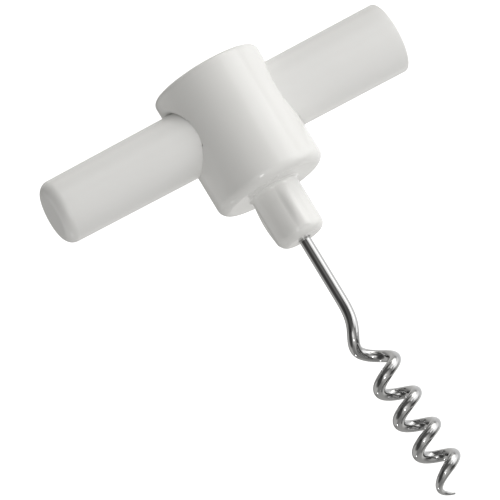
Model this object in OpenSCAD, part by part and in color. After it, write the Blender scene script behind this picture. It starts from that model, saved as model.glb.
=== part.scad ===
// Pocket corkscrew: a wire worm moulded into a round head, and a tapered sheath
// that passes through the head as a cross handle or covers the worm.
// It stands on the flat top of the head with the worm upwards, millimetres,
// origin at the centre of that face, the sheath along X with its mouth at -X.

/* [Head] */
// Diameter of the round hub
hub_d = 27; // [22:0.1:36]
// Height of the hub from its flat top to the face that carries the neck
hub_h = 31.1; // [26:0.1:40]
// Edge radius of the hub around its flat top
hub_top_edge = 1.4; // [0.5:0.1:3]
// Edge radius of the hub around the neck side
hub_neck_edge = 2.4; // [0.5:0.1:4]
// Height of the cross hole's axis above the flat top
cross_z = 12.7; // [11:0.1:16]
// Diameter of the neck that the sheath covers when stowed
neck_d = 11.7; // [10:0.1:14]
// Length of the neck
neck_l = 13.5; // [10:0.1:18]
// Edge radius of the neck's free end
neck_edge = 2.3; // [0.5:0.1:3]

/* [Neck ribs] */
// Number of grip ribs on the neck
rib_n = 3; // [3:1:4]
// Width of a rib
rib_w = 2; // [1:0.1:3]
// Greatest height of a rib above the neck
rib_h = 0.5; // [0.2:0.05:0.8]
// Length over which a rib stands above the neck
rib_l = 8.2; // [5:0.1:9]
// Distance of the rib's highest point from the hub
rib_mid = 6.2; // [5:0.1:8]
// Direction of the first rib around the neck
rib_turn = 268; // [0:1:359]

/* [Sheath] */
// Whole length of the sheath
sheath_l = 90.1; // [80:0.1:110]
// Distance of the closed end from the head's axis
sheath_reach = 47.7; // [40:0.1:55]
// Diameter of the stem at the closed end
stem_end_d = 15.3; // [13:0.05:17]
// Diameter of the stem where it meets the shoulder
stem_d = 16; // [14:0.05:18]
// Length of the shoulder between the stem and the socket
shoulder_l = 4; // [2:0.5:8]
// Distance of the socket's start from the head's axis, on the mouth side
socket_past = 1.3; // [0:0.1:4]
// Diameter of the socket where it meets the shoulder
socket_d = 16.85; // [15:0.05:19]
// Diameter of the socket at the mouth
mouth_d = 17.3; // [15:0.05:20]
// Edge radius of the closed end
stem_edge = 2.6; // [0.5:0.1:4]
// Edge radius of the mouth
mouth_edge = 0.5; // [0.2:0.1:1]
// Thickness of the closed end
end_wall = 3; // [2:0.1:5]
// Diameter of the bore that takes the neck
neck_bore_d = 12.7; // [11:0.05:15]
// Depth of the bore that takes the neck
neck_bore_l = 14; // [10:0.1:18]
// Diameter of the deep bore behind it
deep_bore_d = 11.4; // [10:0.1:12]
// Diameter of the deep bore at its blind end
blind_bore_d = 10.6; // [9.8:0.1:11.5]
// Radial play of the sheath in the cross hole
cross_play = 0.1; // [0.05:0.01:0.3]

/* [Worm] */
// Diameter of the wire
wire_d = 2.8; // [2.5:0.05:4]
// Radius of the coil at the middle of the wire
coil_r = 3.4; // [2.6:0.01:4]
// Rise of the coil in one turn
coil_pitch = 8.29; // [7.5:0.01:10]
// Height where the straight shank begins to bend out
bend_z = 60.4; // [52:0.1:64]
// Height where the wire first reaches the coil
coil_z = 73.3; // [68:0.1:78]
// Direction in which the wire first reaches the coil
coil_turn = 57; // [0:0.1:360]
// Turns of the coil after that
coil_turns = 4.1; // [3:0.01:6]
// Turns over which the wire narrows to its point
point_turns = 0.53; // [0.4:0.01:1.5]
// Diameter at the point
point_d = 0.55; // [0.3:0.05:1]
// Extra rise of the coil towards the point
point_rise = 1.3; // [0:0.01:2]
// Lean of the coil off the head's axis
coil_lean = 0.28; // [0:0.01:1]
// Direction of that lean
lean_turn = 197; // [0:1:359]
// Bend radius of the anchor leg inside the head
anchor_bend = 3; // [2.5:0.1:4]
// Height of the anchor leg's axis
anchor_z = 25.5; // [24:0.1:28]
// Reach of the anchor leg from the head's axis
anchor_reach = 8.5; // [6:0.1:10]
// Clearance of the moulded pocket around the anchor
anchor_gap = 0.02; // [0.01:0.01:0.05]

/* [Hidden] */
$fn = 96;
eps = 0.01;
hub_r = hub_d / 2;
neck_r = neck_d / 2;
wire_r = wire_d / 2;
neck_end_z = hub_h + neck_l;
// a rib is arched, so its top is part of a circle
rib_arc_r = (rib_l * rib_l / 4 + rib_h * rib_h) / (2 * rib_h);

// places along the sheath, measured from its closed end
socket_x = sheath_reach + socket_past;
shoulder_x = socket_x - shoulder_l;
mouth_x = sheath_l - mouth_edge;
// outer radius of the stem and of the socket at such a place
function stem_r(x) =
    (stem_end_d + (stem_d - stem_end_d) * (x - stem_edge) / (shoulder_x - stem_edge)) / 2;
function socket_r(x) =
    (socket_d + (mouth_d - socket_d) * (x - socket_x) / (mouth_x - socket_x)) / 2;

// path of the wire: anchor leg, elbow, shank, lead-in, coil
wire_sides = 16;
elbow_steps = 8;
lead_steps = 30;
coil_steps_per_turn = 32;
lead_angle = 90;
// share of the quadratic term in the easing of the lead-in
lead_ease = 0.41;
// extra rise of the first part of the coil and the angle over which it dies away
early_rise = 2.87;
early_angle = 112;
// angle before the point over which its extra rise grows
point_rise_angle = 268;
coil_steps = round(coil_turns * coil_steps_per_turn);
coil_angle = coil_turns * 360;
point_angle = point_turns * 360;

function ease(t) = lead_ease * t * t + (1 - lead_ease) * t * t * t;
function lead_point(t) =
    let (beta = lead_angle * (1 - ease(t)), r = coil_r * cos(beta), a = coil_turn - beta)
    [r * cos(a), r * sin(a), bend_z + t * (coil_z - bend_z)];
function smooth(s) = s * s * (3 - 2 * s);
function late(q) = point_rise * smooth(max(0, 1 - (coil_angle - q) / point_rise_angle));
function early(q) = early_rise * (1 - exp(-q / early_angle));
function lean(rise) = rise * tan(coil_lean) * [cos(lean_turn), sin(lean_turn), 0];
function coil_point(q) =
    let (rise = coil_pitch * q / 360 + early(q) + late(q), a = coil_turn + q)
    [coil_r * cos(a), coil_r * sin(a), coil_z + rise] + lean(rise);
function elbow_point(q) =
    [0, anchor_bend * (1 - sin(q)), anchor_z + anchor_bend * (1 - cos(q))];

path = concat(
    [[0, anchor_reach, anchor_z]],
    [for (i = [0:elbow_steps]) elbow_point(90 * i / elbow_steps)],
    [for (i = [0:lead_steps]) lead_point(i / lead_steps)],
    [for (i = [1:coil_steps]) coil_point(coil_angle * i / coil_steps)]);
last = len(path) - 1;
coil_start = last - coil_steps;

// wire radius along the path: full, then narrowing to the point
function turn_left(i) = coil_angle * (last - i) / coil_steps;
function narrow(i) = i < coil_start ? 1 : min(1, turn_left(i) / point_angle);
function radius_at(i) = point_d / 2 + (wire_r - point_d / 2) * narrow(i);

function unit(v) = v / norm(v);
function tangent(i) = unit(path[min(i + 1, last)] - path[max(i - 1, 0)]);
// frame carried along the path without twist
function carried(side, t) = unit(side - t * (side * t));
function sides(i, side) =
    i > last ? [] : concat([side], sides(i + 1, carried(side, tangent(min(i + 1, last)))));
side_at = sides(0, [1, 0, 0]);

function ring(i) =
    let (t = tangent(i), u = side_at[i], v = cross(t, u), r = radius_at(i), step = 360 / wire_sides)
    [for (k = [0:wire_sides - 1]) path[i] + r * (cos(k * step) * u + sin(k * step) * v)];
wire_points = [for (i = [0:last]) each ring(i)];
function corner(i, k) = i * wire_sides + k % wire_sides;
wire_faces = concat(
    [[for (k = [0:wire_sides - 1]) corner(0, k)]],
    [for (i = [0:last - 1]) for (k = [0:wire_sides - 1])
        each [
            [corner(i, k), corner(i + 1, k), corner(i + 1, k + 1)],
            [corner(i, k), corner(i + 1, k + 1), corner(i, k + 1)]]],
    [[for (k = [wire_sides - 1:-1:0]) corner(last, k)]]);

// half profile of a disc from z0 to z1 with rounded edges, for turning about Z
module rounded_half(r, z0, z1, edge0, edge1) {
    translate([0, z0 + edge0]) square([r, z1 - z0 - edge0 - edge1]);
    translate([0, z0]) square([r - edge0, edge0]);
    translate([0, z1 - edge1]) square([r - edge1, edge1]);
    intersection() {
        translate([r - edge0, z0 + edge0]) circle(r = edge0);
        translate([r - edge0, z0]) square([edge0, edge0]);
    }
    intersection() {
        translate([r - edge1, z1 - edge1]) circle(r = edge1);
        translate([r - edge1, z1 - edge1]) square([edge1, edge1]);
    }
}

// slice of a disc, whose edge arches over the neck and runs back into it
module rib() {
    run = rib_l + rib_w;
    translate([0, 0, hub_h + rib_mid])
        rotate([90, 0, 0])
            linear_extrude(height = rib_w, center = true)
                intersection() {
                    translate([neck_r + rib_h - rib_arc_r, 0]) circle(r = rib_arc_r);
                    translate([0, -run / 2]) square([neck_r + rib_h + eps, run]);
                }
}

// puts what is drawn along Z from the closed end in the sheath's place
module along_sheath() {
    translate([sheath_reach, 0, cross_z]) rotate([0, -90, 0]) children();
}

// hole across the hub, cut a little past both sides: the sheath's outline plus its play,
// so that the shoulder has a seat
module cross_hole() {
    over = 1;
    near = sheath_reach - hub_r - over;
    beyond = sheath_reach + hub_r + over;
    along_sheath() rotate_extrude()
        polygon([[0, near], [stem_r(near) + cross_play, near], [stem_d / 2 + cross_play, shoulder_x],
            [socket_d / 2 + cross_play, socket_x], [socket_r(beyond) + cross_play, beyond], [0, beyond]]);
}

module anchor_pocket() {
    r = wire_r + anchor_gap;
    translate([0, 0, anchor_z + anchor_bend]) cylinder(r = r, h = neck_end_z - anchor_z);
    translate([0, anchor_bend, anchor_z])
        rotate([-90, 0, 0])
            cylinder(r = r, h = anchor_reach - anchor_bend + anchor_gap);
    translate([0, anchor_bend, anchor_z + anchor_bend])
        rotate([0, 90, 0])
            rotate([0, 0, -90])
                rotate_extrude(angle = 90) translate([anchor_bend, 0]) circle(r = r);
}

module head() {
    color([0.93, 0.93, 0.91])
    difference() {
        union() {
            rotate_extrude() rounded_half(hub_r, 0, hub_h, hub_top_edge, hub_neck_edge);
            rotate_extrude() rounded_half(neck_r, hub_h - 1, neck_end_z, eps, neck_edge);
            for (i = [0:rib_n - 1]) rotate([0, 0, rib_turn + 360 * i / rib_n]) rib();
        }
        cross_hole();
        anchor_pocket();
    }
}

// half profile of the sheath from its closed end at 0 to its mouth
module sheath_half() {
    difference() {
        union() {
            polygon([[0, 0], [stem_end_d / 2 - stem_edge, 0], [stem_end_d / 2 - stem_edge, stem_edge],
                [stem_end_d / 2, stem_edge], [stem_d / 2, shoulder_x], [socket_d / 2, socket_x],
                [mouth_d / 2, mouth_x], [mouth_d / 2 - mouth_edge, mouth_x],
                [mouth_d / 2 - mouth_edge, sheath_l], [0, sheath_l]]);
            translate([stem_end_d / 2 - stem_edge, stem_edge]) circle(r = stem_edge);
            translate([mouth_d / 2 - mouth_edge, mouth_x]) circle(r = mouth_edge);
        }
        polygon([[-1, end_wall], [blind_bore_d / 2, end_wall], [deep_bore_d / 2, sheath_l - neck_bore_l],
            [neck_bore_d / 2, sheath_l - neck_bore_l], [neck_bore_d / 2, mouth_x],
            [neck_bore_d / 2 + mouth_edge, sheath_l + eps], [-1, sheath_l + eps]]);
    }
}

module sheath() {
    color([0.91, 0.91, 0.9])
    along_sheath() rotate_extrude() sheath_half();
}

module worm() {
    color([0.75, 0.76, 0.78])
    polyhedron(points = wire_points, faces = wire_faces, convexity = 10);
}

head();
sheath();
worm();
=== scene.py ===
"""Looks of the pocket corkscrew: white moulded head and sheath, bright plated wire worm."""
import math
from itertools import product

import bpy
import numpy as np
from mathutils import Matrix, Vector


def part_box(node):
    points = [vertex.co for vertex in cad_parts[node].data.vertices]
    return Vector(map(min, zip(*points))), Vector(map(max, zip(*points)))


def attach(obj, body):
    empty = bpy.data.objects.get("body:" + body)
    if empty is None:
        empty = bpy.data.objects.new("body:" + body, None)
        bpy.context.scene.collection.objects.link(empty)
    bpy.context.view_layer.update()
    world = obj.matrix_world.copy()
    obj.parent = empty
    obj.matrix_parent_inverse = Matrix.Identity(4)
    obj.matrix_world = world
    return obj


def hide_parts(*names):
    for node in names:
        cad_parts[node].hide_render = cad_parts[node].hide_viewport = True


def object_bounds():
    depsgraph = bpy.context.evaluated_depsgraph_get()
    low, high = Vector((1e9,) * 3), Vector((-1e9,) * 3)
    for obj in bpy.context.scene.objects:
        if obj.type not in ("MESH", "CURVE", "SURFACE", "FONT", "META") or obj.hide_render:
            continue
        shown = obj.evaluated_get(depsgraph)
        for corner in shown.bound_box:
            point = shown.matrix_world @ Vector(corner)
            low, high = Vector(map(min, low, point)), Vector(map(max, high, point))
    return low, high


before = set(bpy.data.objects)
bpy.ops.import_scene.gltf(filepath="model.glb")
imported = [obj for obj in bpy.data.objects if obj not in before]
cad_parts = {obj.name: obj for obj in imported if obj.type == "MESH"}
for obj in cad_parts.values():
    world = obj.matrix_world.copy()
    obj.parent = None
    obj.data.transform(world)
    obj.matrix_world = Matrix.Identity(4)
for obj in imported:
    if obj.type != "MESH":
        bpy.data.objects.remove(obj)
cad_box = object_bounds()

# Sizes below are in millimetres, angles in degrees.
MM = 0.001


def node_box(node):
    """Lowest and highest corner of a node, in millimetres."""
    return [np.array(corner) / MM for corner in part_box(node)]


HEAD_LOW, HEAD_HIGH = node_box("head")
SHEATH_LOW, SHEATH_HIGH = node_box("sheath")

# Camera of the photograph, whose picture is as high as it is wide.
CAMERA_PLACE = (316.81, -1069.61, 234.91)
CAMERA_TURN = (-78.4717, -30.6892, -170.0523)
CAMERA_LENS = 360.0
CAMERA_SENSOR = 36.0

# Head: hub, neck, ribs, cross hole.
HUB_R = HEAD_HIGH[0]
HUB_H = 31.1
HUB_TOP_EDGE = 1.4
HUB_NECK_EDGE = 2.4
NECK_R = 5.85
NECK_END = HEAD_HIGH[2]
NECK_EDGE = 2.3
NECK_FILLET = 0.9
RIB_COUNT = 3
RIB_W = 2.0
RIB_H = 0.5
RIB_L = 8.2
RIB_MID = 6.2
RIB_TURN = 268.0
RIB_EDGE = 0.9
RIB_FILLET = 1.0
RIB_ARC_R = (RIB_L ** 2 / 4 + RIB_H ** 2) / (2 * RIB_H)
CROSS_Z = (SHEATH_LOW[2] + SHEATH_HIGH[2]) / 2
# Less play than the solids have, so that no dark line shows round the sheath.
CROSS_PLAY = 0.02
# Rounding of the rim at the sides, and towards the flat top.
CROSS_EDGE = (0.02, 1.6)
EXIT_EDGE = 0.2
HEAD_CELL = 0.3
# Room around the head, with which the planes of the net miss the sides of the rim.
HEAD_ROOM = (1, 1.2, 1)
# Share of a cell's width, from its middle, within which the cell's point goes onto the rim.
RIM_REACH = 0.7
SLOPE_STEP = 0.01
LEAST_SLOPE = 0.1
LEAST_CROSSING = 0.05
SETTLE_ROUNDS = 3
RIM_ROUNDS = 4
EVEN_ROUNDS = 6

# Sheath, measured along its axis from the closed end.
SHEATH_L = SHEATH_HIGH[0] - SHEATH_LOW[0]
STEM_END_R = 7.65
STEM_R = 8.0
SOCKET_R = 8.425
SOCKET_PAST = 1.3
SOCKET_X = SHEATH_HIGH[0] + SOCKET_PAST
SHOULDER_L = 4.0
SHOULDER_X = SOCKET_X - SHOULDER_L
MOUTH_R = (SHEATH_HIGH[2] - SHEATH_LOW[2]) / 2
STEM_EDGE = 2.6
MOUTH_EDGE = 0.5
END_WALL = 3.0
NECK_BORE_R = 6.35
NECK_BORE_L = 14.0
DEEP_BORE_R = 5.7
BLIND_BORE_R = 5.3
BLIND_RING_R = BLIND_BORE_R / 6
SHEATH_SIDES = 160
FLAT_STEPS = 6
END_STEPS = 12
TAPER_STEPS = 20
SHOULDER_STEPS = 4
LIP_STEPS = 6
NARROW_STEPS = 2
NECK_BORE_STEPS = 6
DEEP_BORE_STEPS = 24
BLIND_STEPS = 5

# Worm: anchor leg, elbow, shank, lead-in, coil, point.
WIRE_R = 1.4
COIL_R = 3.4
COIL_PITCH = 8.29
BEND_Z = 60.4
COIL_Z = 73.3
COIL_TURN = 57.0
COIL_TURNS = 4.1
COIL_LEAN = 0.28
LEAN_TURN = 197.0
POINT_TURNS = 0.53
POINT_R = 0.275
POINT_RISE = 1.3
POINT_RISE_ANGLE = 268.0
LEAD_ANGLE = 90.0
LEAD_EASE = 0.41
EARLY_RISE = 2.87
EARLY_ANGLE = 112.0
ANCHOR_BEND = 3.0
ANCHOR_Z = 25.5
ANCHOR_REACH = 8.5
ANCHOR_GAP = 0.02
WIRE_SIDES = 32
LEG_POINTS = 5
ELBOW_POINTS = 10
SHANK_POINTS = 40
LEAD_POINTS = 60
COIL_POINTS = 72
# Least share of the squared radius at the very tip.
TIP_LEAST = 0.04

# Materials: noise scales are per metre, along the wire per millimetre, depths in millimetres.
PLASTIC_IOR = 1.49
HEAD_ROUGHNESS = (0.08, 0.14)
SHEATH_ROUGHNESS = (0.22, 0.245)
HEAD_PALE = (0.865, 0.862, 0.848)
HEAD_DULL = (0.845, 0.842, 0.826)
SHEATH_PALE = (0.868, 0.866, 0.856)
SHEATH_DULL = (0.85, 0.847, 0.835)
NOISE_SPAN = (0.3, 0.7)
CLOUD_SCALE = 70
CLOUD_DETAIL = 3
PATCH_SCALE = 700
PATCH_DETAIL = 4
GRAIN_SCALE = 3500
GRAIN_DETAIL = 2
GRAIN_STRENGTH = 0.15
GRAIN_DEPTH = 0.01
WIRE_PALE = (0.47, 0.47, 0.47)
WIRE_DULL = (0.43, 0.43, 0.43)
WIRE_ROUGHNESS = (0.03, 0.07)
MARK_SCALE = (9.0, 9.0, 0.35)
MARK_DETAIL = 3
MARK_STRENGTH = 0.2
MARK_DEPTH = 0.003

# Studio: directions are degrees to the right and up, seen from the object when it faces the camera.
WHITE = (1, 1, 1)
ROOM_COLOUR = (1.0, 0.993, 0.968)
ROOM_LEVEL = 0.36
ROOM_LIGHTS = (
    # right, up, full within, gone beyond, level
    (-88, -55, 30, 35, 0.38),
    (0, -10, 5, 40, 0.55),
    (40, -40, 5, 40, 0.31),
    (140, -40, 5, 40, 0.61),
    (-60, 120, 5, 40, 0.41),
    (0, 60, 5, 25, 2.03),
    (-15, 95, 5, 25, 0.9),
    (25, 80, 8, 25, 2.2),
    (30, -120, 10, 40, 0.21),
)
DARK_CARDS = (
    # right, up, full within, gone beyond, share of the light that the card takes away
    (-54, -21, 25, 41, 0.76),
    (-31, 47, 39, 45, 0.58),
    (-20, 67, 13, 17, 0.46),
    (69, -14, 13, 22, 0.77),
    (90, -32, 8, 12, 0.58),
)
BACKDROP_WAY = (105, 95)
BACKDROP_FULL = 25
BACKDROP_GONE = 45
# Three of the panels are nested, which gives them one soft edge.
PANELS = (
    # right, up, how far off, size away from the camera's line, size around it, level
    (42, 44, 1200, 1054, 480, 1.18),
    (-3, -6, 1200, 401, 671, 0.7),
    (75, 28, 300, 140, 170, 0.38),
    (75, 28, 301, 220, 260, 0.38),
    (75, 28, 302, 300, 350, 0.38),
    (75, 45, 300, 300, 300, 0.42),
)
LAMPS = (
    # right, up, width, level
    (5, -22, 90, 23.0),
    (-28, -102, 90, 11.0),
)
LAMP_AWAY = 1000
FLOOR_SIZE = 6000
FLOOR_DROP = 0.05
FLOOR_COLOUR = (0.8, 0.8, 0.8)
FLOOR_WHITE = 0.8


def new_piece(name, points, faces, material, body, node):
    """Smooth mesh piece from points in millimetres, in place of a node."""
    mesh = bpy.data.meshes.new(name)
    mesh.from_pydata((np.asarray(points) * MM).tolist(), [], faces)
    mesh.shade_smooth()
    mesh.materials.append(material)
    piece = bpy.data.objects.new(name, mesh)
    bpy.context.scene.collection.objects.link(piece)
    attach(piece, body)
    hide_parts(node)
    return piece


# Signed distances: negative inside. Points are rows of x, y, z.
def rod(p, radius, z0, z1, edge0, edge1):
    """Distance to an upright rod from z0 to z1 with rounded ends."""
    middle = (z0 + z1) / 2
    edge = np.where(p[:, 2] < middle, edge0, edge1)
    out = np.hypot(p[:, 0], p[:, 1]) - radius + edge
    up = np.abs(p[:, 2] - middle) - (z1 - z0) / 2 + edge
    corner = np.hypot(np.maximum(out, 0), np.maximum(up, 0))
    return corner + np.minimum(np.maximum(out, up), 0) - edge


def join(a, b, fillet):
    """Union of two distances, with a fillet in the corner between them."""
    corner = np.hypot(np.maximum(fillet - a, 0), np.maximum(fillet - b, 0))
    return np.maximum(fillet, np.minimum(a, b)) - corner


def common(a, b, edge):
    """Intersection of two distances, with a rounded edge between them."""
    corner = np.hypot(np.maximum(edge + a, 0), np.maximum(edge + b, 0))
    return np.minimum(-edge, np.maximum(a, b)) + corner


def rib(p, turn):
    """Distance to one grip rib, a slice of a disc that arches over the neck."""
    c, s = math.cos(math.radians(turn)), math.sin(math.radians(turn))
    out = c * p[:, 0] + s * p[:, 1]
    across = c * p[:, 1] - s * p[:, 0]
    along = p[:, 2] - HUB_H - RIB_MID
    disc = np.hypot(out - NECK_R - RIB_H + RIB_ARC_R, along) - RIB_ARC_R
    bar = common(disc, np.abs(across) - RIB_W / 2, RIB_EDGE)
    return np.maximum(bar, np.maximum(-out, np.abs(along) - (RIB_L + RIB_W) / 2))


def wire_pocket(p):
    """Distance to the space that the wire takes up inside the head."""
    x, y, z = p[:, 0], p[:, 1], p[:, 2]
    elbow_z = ANCHOR_Z + ANCHOR_BEND
    shank = np.hypot(np.hypot(x, y), np.minimum(z - elbow_z, 0))
    leg_y = y - np.clip(y, ANCHOR_BEND, ANCHOR_REACH)
    leg = np.hypot(np.hypot(x, z - ANCHOR_Z), leg_y)
    elbow = np.hypot(x, np.hypot(y - ANCHOR_BEND, z - elbow_z) - ANCHOR_BEND)
    elbow = np.where((y < ANCHOR_BEND) & (z < elbow_z), elbow, NECK_END)
    return np.minimum(np.minimum(shank, leg), elbow) - WIRE_R - ANCHOR_GAP


def sheath_radius(x):
    """Outer radius of the sheath where it passes through the head."""
    places = (STEM_EDGE, SHOULDER_X, SOCKET_X, SHEATH_L - MOUTH_EDGE)
    return np.interp(SHEATH_HIGH[0] - x, places, (STEM_END_R, STEM_R, SOCKET_R, MOUTH_R))


def head_outside(p):
    """Distance to the head without its holes."""
    hub = rod(p, HUB_R, 0, HUB_H, HUB_TOP_EDGE, HUB_NECK_EDGE)
    neck = rod(p, NECK_R, HUB_H / 2, NECK_END, NECK_EDGE, NECK_EDGE)
    for i in range(RIB_COUNT):
        neck = join(neck, rib(p, RIB_TURN + 360 * i / RIB_COUNT), RIB_FILLET)
    return join(hub, neck, NECK_FILLET)


def cross_hole(p):
    """Distance to the cross hole."""
    return np.hypot(p[:, 1], p[:, 2] - CROSS_Z) - sheath_radius(p[:, 0]) - CROSS_PLAY


def cross_edge(p):
    """Edge radius of the cross hole, which is rounder towards the flat top."""
    towards_top = np.clip((CROSS_Z - p[:, 2]) / STEM_R, 0, 1) ** 2
    return CROSS_EDGE[0] + (CROSS_EDGE[1] - CROSS_EDGE[0]) * towards_top


def head_distance(p):
    """Distance to the whole head."""
    body = common(head_outside(p), -cross_hole(p), cross_edge(p))
    return common(body, -wire_pocket(p), EXIT_EDGE)


def slope(distance, p):
    """Gradient of a distance at the points."""
    shifts = np.eye(3) * SLOPE_STEP
    return np.stack([distance(p + d) - distance(p - d) for d in shifts], 1) / (2 * SLOPE_STEP)


def settle(distance, p):
    """Points moved onto the zero surface of a distance."""
    for _ in range(SETTLE_ROUNDS):
        g = slope(distance, p)
        size = np.maximum((g * g).sum(1), LEAST_SLOPE)
        p = p - g * (distance(p) / size)[:, None]
    return p


def settle_rim(p):
    """Points moved onto the rim of the cross hole."""
    for _ in range(RIM_ROUNDS):
        a, b = head_outside(p), cross_hole(p)
        ga, gb = slope(head_outside, p), slope(cross_hole, p)
        aa, ab, bb = (ga * ga).sum(1), (ga * gb).sum(1), (gb * gb).sum(1)
        whole = np.maximum(aa * bb - ab * ab, LEAST_CROSSING)
        along_a, along_b = (a * bb - b * ab) / whole, (b * aa - a * ab) / whole
        p = p - along_a[:, None] * ga - along_b[:, None] * gb
    return p


def sharp_rim(p, cell):
    """Which of the cells, given by their middles, the sharp part of the rim passes through."""
    near = np.maximum(np.abs(head_outside(p)), np.abs(cross_hole(p))) < 2 * cell
    near = np.flatnonzero(near & (cross_edge(p) < cell / 2))
    inside = np.abs(settle_rim(p[near]) - p[near]).max(1) <= RIM_REACH * cell
    return near[inside]


def surface_net(distance, low, high, cell):
    """Even quad mesh of a zero surface, one point per crossed cell, and which points are on the rim."""
    axes = [np.arange(a, b + cell, cell) for a, b in zip(low, high)]
    grid = np.stack(np.meshgrid(*axes, indexing="ij"), -1)
    inside = (distance(grid.reshape(-1, 3)) < 0).reshape(grid.shape[:3])
    nx, ny, nz = (n - 1 for n in inside.shape)
    full = sum(
        inside[i:nx + i, j:ny + j, k:nz + k].astype(int) for i, j, k in product((0, 1), repeat=3)
    )
    crossed = (full > 0) & (full < 8)
    number = np.full(crossed.shape, -1)
    number[crossed] = np.arange(crossed.sum())
    points = grid[:-1, :-1, :-1][crossed] + cell / 2

    faces = []
    for axis in range(3):
        a = np.moveaxis(inside, axis, 0)
        cells = np.moveaxis(number, axis, 0)
        first, second = a[:-1, 1:-1, 1:-1], a[1:, 1:-1, 1:-1]
        corners = [cells[:, :-1, :-1], cells[:, 1:, :-1], cells[:, 1:, 1:], cells[:, :-1, 1:]]
        quad = np.stack(corners, -1)
        out, back = quad[first & ~second], quad[~first & second][:, ::-1]
        if axis == 1:
            out, back = out[:, ::-1], back[:, ::-1]
        faces += [out, back]
    faces = np.concatenate(faces)

    # Even out the points along the surface, which they stay on.
    edges = np.concatenate([faces[:, [i, (i + 1) % 4]] for i in range(4)])
    count = np.bincount(edges[:, 0], minlength=len(points))[:, None]
    sharp = sharp_rim(points, cell)
    points = settle(distance, points)
    for _ in range(EVEN_ROUNDS):
        columns = [np.bincount(edges[:, 0], points[edges[:, 1], i], len(points)) for i in range(3)]
        points = (points + np.stack(columns, 1) / count) / 2
        rim = settle_rim(points[sharp])
        points = settle(distance, points)
        points[sharp] = rim
    return points, faces, sharp


def make_head(material):
    """Head with filleted neck, rounded ribs and a cross hole with a close rim."""
    low, high = HEAD_LOW - HEAD_ROOM, HEAD_HIGH + HEAD_ROOM
    points, faces, sharp = surface_net(head_distance, low, high, HEAD_CELL)
    piece = new_piece("head_shell", points, faces.tolist(), material, "head", "head")
    normals = slope(head_distance, points)
    normals[sharp] = slope(head_outside, points[sharp])
    normals /= np.linalg.norm(normals, axis=1)[:, None]
    piece.data.normals_split_custom_set_from_vertices(normals.tolist())


def arc(centre, radius, start, end, steps):
    """Points of an arc in a profile of distance along the axis and radius."""
    angles = np.radians(np.linspace(start, end, steps + 1))
    return [(centre[0] + radius * math.cos(a), centre[1] + radius * math.sin(a)) for a in angles]


def straight(a, b, steps):
    """Points after a up to b, evenly spaced."""
    return [tuple(np.add(a, np.subtract(b, a) * i / steps)) for i in range(1, steps + 1)]


def sheath_profile():
    """Half profile from the middle of the closed end, round the mouth, to the blind end."""
    flat_r = STEM_END_R - STEM_EDGE
    lip = SHEATH_L - MOUTH_EDGE
    line = straight((0, 0), (0, flat_r), FLAT_STEPS)
    line += arc((STEM_EDGE, flat_r), STEM_EDGE, 180, 90, END_STEPS)[1:]
    line += straight(line[-1], (SHOULDER_X, STEM_R), TAPER_STEPS)
    line += straight(line[-1], (SOCKET_X, SOCKET_R), SHOULDER_STEPS)
    line += straight(line[-1], (lip, MOUTH_R), TAPER_STEPS)
    line += arc((lip, MOUTH_R - MOUTH_EDGE), MOUTH_EDGE, 90, 0, LIP_STEPS)[1:]
    line += straight(line[-1], (SHEATH_L, NECK_BORE_R + MOUTH_EDGE), NARROW_STEPS)
    line += arc((lip, NECK_BORE_R + MOUTH_EDGE), MOUTH_EDGE, 0, -90, LIP_STEPS)[1:]
    line += straight(line[-1], (SHEATH_L - NECK_BORE_L, NECK_BORE_R), NECK_BORE_STEPS)
    line += straight(line[-1], (SHEATH_L - NECK_BORE_L, DEEP_BORE_R), NARROW_STEPS)
    line += straight(line[-1], (END_WALL, BLIND_BORE_R), DEEP_BORE_STEPS)
    line += straight(line[-1], (END_WALL, BLIND_RING_R), BLIND_STEPS)
    return line


def make_sheath(material):
    """Tapered sheath, turned about its axis."""
    line = np.array(sheath_profile())
    turns = 2 * math.pi * np.arange(SHEATH_SIDES) / SHEATH_SIDES
    x = np.repeat(SHEATH_HIGH[0] - line[:, 0], SHEATH_SIDES)
    y = np.outer(line[:, 1], np.cos(turns)).ravel()
    z = np.outer(line[:, 1], np.sin(turns)).ravel() + CROSS_Z
    poles = [(SHEATH_HIGH[0], 0, CROSS_Z), (SHEATH_HIGH[0] - END_WALL, 0, CROSS_Z)]
    points = np.concatenate([np.stack([x, y, z], 1), poles])
    rows = len(line)
    corner = np.arange(rows * SHEATH_SIDES).reshape(rows, SHEATH_SIDES)
    beside = np.roll(corner, -1, 1)
    quads = np.stack([corner[1:], beside[1:], beside[:-1], corner[:-1]], -1)
    faces = quads.reshape(-1, 4).tolist()
    front, back = rows * SHEATH_SIDES, rows * SHEATH_SIDES + 1
    faces += [[corner[0, i], beside[0, i], front] for i in range(SHEATH_SIDES)]
    faces += [[beside[-1, i], corner[-1, i], back] for i in range(SHEATH_SIDES)]
    new_piece("sheath_shell", points, faces, material, "sheath", "sheath")


def lead_point(t):
    """Point of the lead-in from the shank to the coil, t from 0 to 1."""
    ease = LEAD_EASE * t ** 2 + (1 - LEAD_EASE) * t ** 3
    beta = LEAD_ANGLE * (1 - ease)
    r = COIL_R * math.cos(math.radians(beta))
    a = math.radians(COIL_TURN - beta)
    return (r * math.cos(a), r * math.sin(a), BEND_Z + t * (COIL_Z - BEND_Z))


def coil_point(q):
    """Point of the coil after an angle of q degrees."""
    left = max(0, 1 - (COIL_TURNS * 360 - q) / POINT_RISE_ANGLE)
    late = POINT_RISE * left ** 2 * (3 - 2 * left)
    early = EARLY_RISE * (1 - math.exp(-q / EARLY_ANGLE))
    rise = COIL_PITCH * q / 360 + early + late
    a = math.radians(COIL_TURN + q)
    way = math.radians(LEAN_TURN)
    lean = rise * math.tan(math.radians(COIL_LEAN))
    x = COIL_R * math.cos(a) + lean * math.cos(way)
    y = COIL_R * math.sin(a) + lean * math.sin(way)
    return (x, y, COIL_Z + rise)


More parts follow.
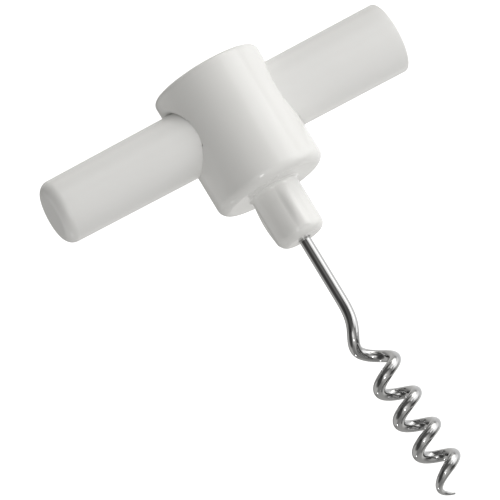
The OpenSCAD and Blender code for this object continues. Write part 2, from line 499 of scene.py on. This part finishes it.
def elbow_point(q):
    """Point of the elbow inside the head, q from 0 to 90 degrees."""
    a = math.radians(q)
    return (0, ANCHOR_BEND * (1 - math.sin(a)), ANCHOR_Z + ANCHOR_BEND * (1 - math.cos(a)))


def wire_path():
    """Points along the wire and the wire's radius at each."""
    coil_angle = COIL_TURNS * 360
    coil = np.linspace(0, coil_angle, int(COIL_TURNS * COIL_POINTS))[1:]
    path = [(0, y, ANCHOR_Z) for y in np.linspace(ANCHOR_REACH, ANCHOR_BEND, LEG_POINTS)[:-1]]
    path += [elbow_point(q) for q in np.linspace(0, 90, ELBOW_POINTS)]
    path += [(0, 0, z) for z in np.linspace(ANCHOR_Z + ANCHOR_BEND, BEND_Z, SHANK_POINTS)[1:-1]]
    path += [lead_point(t) for t in np.linspace(0, 1, LEAD_POINTS)]
    path += [coil_point(q) for q in coil]
    narrow = np.minimum(1, (coil_angle - coil) / (POINT_TURNS * 360))
    radius = np.full(len(path), WIRE_R)
    radius[-len(coil):] = POINT_R + (WIRE_R - POINT_R) * narrow
    return np.array(path), radius


def make_worm(material):
    """Round wire swept along its path without twist, with a rounded point."""
    path, radius = wire_path()
    ahead = np.gradient(path, axis=0)
    ahead /= np.linalg.norm(ahead, axis=1)[:, None]
    length = np.concatenate([[0], np.cumsum(np.linalg.norm(np.diff(path, axis=0), axis=1))])
    tip = np.minimum(1, (length[-1] - length) / POINT_R)
    radius = radius * np.sqrt(np.maximum(TIP_LEAST, 1 - (1 - tip) ** 2))
    side = np.array([1.0, 0.0, 0.0])
    turns = 2 * math.pi * np.arange(WIRE_SIDES) / WIRE_SIDES
    rings = []
    for place, way, r in zip(path, ahead, radius):
        side = side - way * side.dot(way)
        side /= np.linalg.norm(side)
        other = np.cross(way, side)
        rings.append(place + r * (np.outer(np.cos(turns), side) + np.outer(np.sin(turns), other)))
    points = np.concatenate(rings)
    corner = np.arange(len(points)).reshape(-1, WIRE_SIDES)
    beside = np.roll(corner, -1, 1)
    quads = np.stack([corner[:-1], beside[:-1], beside[1:], corner[1:]], -1)
    faces = quads.reshape(-1, 4).tolist()
    faces += [corner[0, ::-1].tolist(), corner[-1].tolist()]
    piece = new_piece("worm_wire", points, faces, material, "head", "worm")
    along = piece.data.attributes.new("along_wire", "FLOAT_VECTOR", "POINT")
    around = np.stack([np.cos(turns), np.sin(turns)], 1)
    columns = [np.tile(around, (len(path), 1)), np.repeat(length, WIRE_SIDES)[:, None]]
    value = np.concatenate(columns, 1).astype(np.float32)
    along.data.foreach_set("vector", value.ravel())


def make_camera():
    """Camera at the photograph's viewing angle."""
    data = bpy.data.cameras.new("camera")
    data.lens = CAMERA_LENS
    data.sensor_width = CAMERA_SENSOR
    camera = bpy.data.objects.new("camera", data)
    camera.location = [c * MM for c in CAMERA_PLACE]
    camera.rotation_euler = [math.radians(a) for a in CAMERA_TURN]
    bpy.context.scene.collection.objects.link(camera)
    bpy.context.scene.camera = camera


def noise(nodes, links, place, scale, detail):
    """Noise of a scale per metre, or per unit of the place that it reads."""
    texture = nodes.new("ShaderNodeTexNoise")
    texture.inputs["Scale"].default_value = scale
    texture.inputs["Detail"].default_value = detail
    links.new(place, texture.inputs["Vector"])
    return texture.outputs["Fac"]


def spread(nodes, links, value, low, high):
    """Noise mapped from its usual span to the values from low to high."""
    span = nodes.new("ShaderNodeMapRange")
    span.inputs["From Min"].default_value = NOISE_SPAN[0]
    span.inputs["From Max"].default_value = NOISE_SPAN[1]
    span.inputs["To Min"].default_value = low
    span.inputs["To Max"].default_value = high
    links.new(value, span.inputs["Value"])
    return span.outputs["Result"]


def bump(nodes, links, height, strength, depth, shader):
    """Fine relief of a depth in millimetres."""
    relief = nodes.new("ShaderNodeBump")
    relief.inputs["Strength"].default_value = strength
    relief.inputs["Distance"].default_value = depth * MM
    links.new(height, relief.inputs["Height"])
    links.new(relief.outputs["Normal"], shader.inputs["Normal"])


def blend(nodes, links, factor, first, second):
    """Colour that goes from the first to the second with the factor."""
    mix = nodes.new("ShaderNodeMix")
    mix.data_type = "RGBA"
    mix.inputs["A"].default_value = (*first, 1)
    mix.inputs["B"].default_value = (*second, 1)
    links.new(factor, mix.inputs["Factor"])
    return mix.outputs["Result"]


def new_material(name):
    """Material with its nodes, its links and its shader."""
    material = bpy.data.materials.new(name)
    material.use_nodes = True
    nodes = material.node_tree.nodes
    return material, nodes, material.node_tree.links, nodes["Principled BSDF"]


def plastic_material(name, pale, dull, roughness):
    """Moulded white plastic: faint clouding, uneven gloss and a fine grain."""
    material, nodes, links, shader = new_material(name)
    shader.inputs["IOR"].default_value = PLASTIC_IOR
    place = nodes.new("ShaderNodeTexCoord").outputs["Object"]
    clouds = spread(nodes, links, noise(nodes, links, place, CLOUD_SCALE, CLOUD_DETAIL), 0, 1)
    links.new(blend(nodes, links, clouds, pale, dull), shader.inputs["Base Color"])
    patches = noise(nodes, links, place, PATCH_SCALE, PATCH_DETAIL)
    links.new(spread(nodes, links, patches, *roughness), shader.inputs["Roughness"])
    grain = noise(nodes, links, place, GRAIN_SCALE, GRAIN_DETAIL)
    bump(nodes, links, grain, GRAIN_STRENGTH, GRAIN_DEPTH, shader)
    return material


def wire_material(name):
    """Bright plating over drawn wire, with fine marks along its length."""
    material, nodes, links, shader = new_material(name)
    shader.inputs["Metallic"].default_value = 1
    along = nodes.new("ShaderNodeAttribute")
    along.attribute_name = "along_wire"
    stretch = nodes.new("ShaderNodeVectorMath")
    stretch.operation = "MULTIPLY"
    stretch.inputs[1].default_value = MARK_SCALE
    links.new(along.outputs["Vector"], stretch.inputs[0])
    marks = noise(nodes, links, stretch.outputs["Vector"], 1, MARK_DETAIL)
    dulled = spread(nodes, links, marks, 0, 1)
    links.new(blend(nodes, links, dulled, WIRE_PALE, WIRE_DULL), shader.inputs["Base Color"])
    links.new(spread(nodes, links, marks, *WIRE_ROUGHNESS), shader.inputs["Roughness"])
    bump(nodes, links, marks, MARK_STRENGTH, MARK_DEPTH, shader)
    return material


def studio_axes():
    """Right, up and towards the camera, as directions of the frame."""
    turn = bpy.context.scene.camera.rotation_euler.to_matrix()
    return turn.col[0], turn.col[1], turn.col[2]


def studio_way(right, up):
    """Direction that lies so many degrees to the right and up of the line to the camera."""
    x, y, z = studio_axes()
    away = math.radians(math.hypot(right, up))
    side = (x * right + y * up).normalized()
    return side * math.sin(away) + z * math.cos(away)


def math_node(nodes, links, operation, *values):
    """Result of a maths node, whose inputs are sockets or plain numbers."""
    node = nodes.new("ShaderNodeMath")
    node.operation = operation
    for socket, value in zip(node.inputs, values):
        if isinstance(value, (int, float)):
            socket.default_value = value
        else:
            links.new(value, socket)
    return node.outputs[0]


def soft_spot(nodes, links, way, place, full, gone):
    """One inside a round part of the room, fading to nothing around it."""
    dot = nodes.new("ShaderNodeVectorMath")
    dot.operation = "DOT_PRODUCT"
    dot.inputs[1].default_value = studio_way(*place)
    links.new(way, dot.inputs[0])
    mask = nodes.new("ShaderNodeMapRange")
    mask.interpolation_type = "SMOOTHSTEP"
    mask.inputs["From Min"].default_value = math.cos(math.radians(gone))
    mask.inputs["From Max"].default_value = math.cos(math.radians(full))
    links.new(dot.outputs["Value"], mask.inputs["Value"])
    return mask.outputs["Result"]


def make_world():
    """Grey room with pale places and dark cards, and a white backdrop that metal shows too."""
    world = bpy.data.worlds.new("studio")
    bpy.context.scene.world = world
    world.use_nodes = True
    nodes, links = world.node_tree.nodes, world.node_tree.links
    way = nodes.new("ShaderNodeTexCoord").outputs["Generated"]
    level = ROOM_LEVEL
    for right, up, full, gone, light in ROOM_LIGHTS:
        spot = soft_spot(nodes, links, way, (right, up), full, gone)
        level = math_node(nodes, links, "MULTIPLY_ADD", spot, light, level)
    for right, up, full, gone, share in DARK_CARDS:
        spot = soft_spot(nodes, links, way, (right, up), full, gone)
        left = math_node(nodes, links, "MULTIPLY_ADD", spot, -share, 1)
        level = math_node(nodes, links, "MULTIPLY", level, left)
    backdrop = soft_spot(nodes, links, way, BACKDROP_WAY, BACKDROP_FULL, BACKDROP_GONE)
    path = nodes.new("ShaderNodeLightPath").outputs
    mirrored = math_node(nodes, links, "MAXIMUM", path["Is Glossy Ray"], path["Is Transmission Ray"])
    white = math_node(nodes, links, "MULTIPLY", mirrored, backdrop)
    white = math_node(nodes, links, "MAXIMUM", path["Is Camera Ray"], white)
    shown = nodes.new("ShaderNodeMix")
    shown.inputs["B"].default_value = 1
    links.new(white, shown.inputs["Factor"])
    links.new(level, shown.inputs["A"])
    links.new(shown.outputs["Result"], nodes["Background"].inputs["Strength"])
    tint = blend(nodes, links, white, ROOM_COLOUR, WHITE)
    links.new(tint, nodes["Background"].inputs["Color"])


def make_lamp(name, way, away, size, level):
    """Area lamp that faces the object and looks as bright as the level."""
    centre = sum(cad_box, Vector()) / 2
    data = bpy.data.lights.new(name, "AREA")
    data.shape = "RECTANGLE"
    data.size, data.size_y = (s * MM for s in size)
    data.energy = level * math.pi * data.size * data.size_y
    lamp = bpy.data.objects.new(name, data)
    back = studio_way(*way)
    along = studio_axes()[2].cross(back).cross(back).normalized()
    turn = Matrix((along, back.cross(along), back)).transposed()
    lamp.matrix_world = Matrix.Translation(centre + back * away * MM) @ turn.to_4x4()
    lamp.visible_camera = False
    bpy.context.scene.collection.objects.link(lamp)


def make_floor():
    """White floor under the hub, which only the camera sees and which keeps a faint shadow."""
    half = FLOOR_SIZE * MM / 2
    z = -FLOOR_DROP * MM
    mesh = bpy.data.meshes.new("floor")
    corners = [(-half, -half, z), (half, -half, z), (half, half, z), (-half, half, z)]
    mesh.from_pydata(corners, [], [(0, 1, 2, 3)])
    floor = bpy.data.objects.new("floor", mesh)
    bpy.context.scene.collection.objects.link(floor)
    material, nodes, links, shader = new_material("floor_white")
    shader.inputs["Base Color"].default_value = (*FLOOR_COLOUR, 1)
    shader.inputs["Roughness"].default_value = 1
    shader.inputs["Specular IOR Level"].default_value = 0
    shader.inputs["Emission Color"].default_value = (*WHITE, 1)
    path = nodes.new("ShaderNodeLightPath").outputs
    glow = math_node(nodes, links, "MULTIPLY", path["Is Camera Ray"], FLOOR_WHITE)
    links.new(glow, shader.inputs["Emission Strength"])
    mesh.materials.append(material)
    floor.visible_diffuse = False
    floor.visible_glossy = False
    floor.visible_transmission = False
    floor.visible_shadow = False


make_camera()
make_head(plastic_material("head_plastic", HEAD_PALE, HEAD_DULL, HEAD_ROUGHNESS))
make_sheath(plastic_material("sheath_plastic", SHEATH_PALE, SHEATH_DULL, SHEATH_ROUGHNESS))
make_worm(wire_material("plated_wire"))
make_world()
for number, (right, up, away, length, width, level) in enumerate(PANELS):
    make_lamp(f"panel_{number}", (right, up), away, (length, width), level)
for number, (right, up, width, level) in enumerate(LAMPS):
    make_lamp(f"lamp_{number}", (right, up), LAMP_AWAY, (width, width), level)
make_floor()
bpy.context.scene.view_settings.view_transform = "Standard"
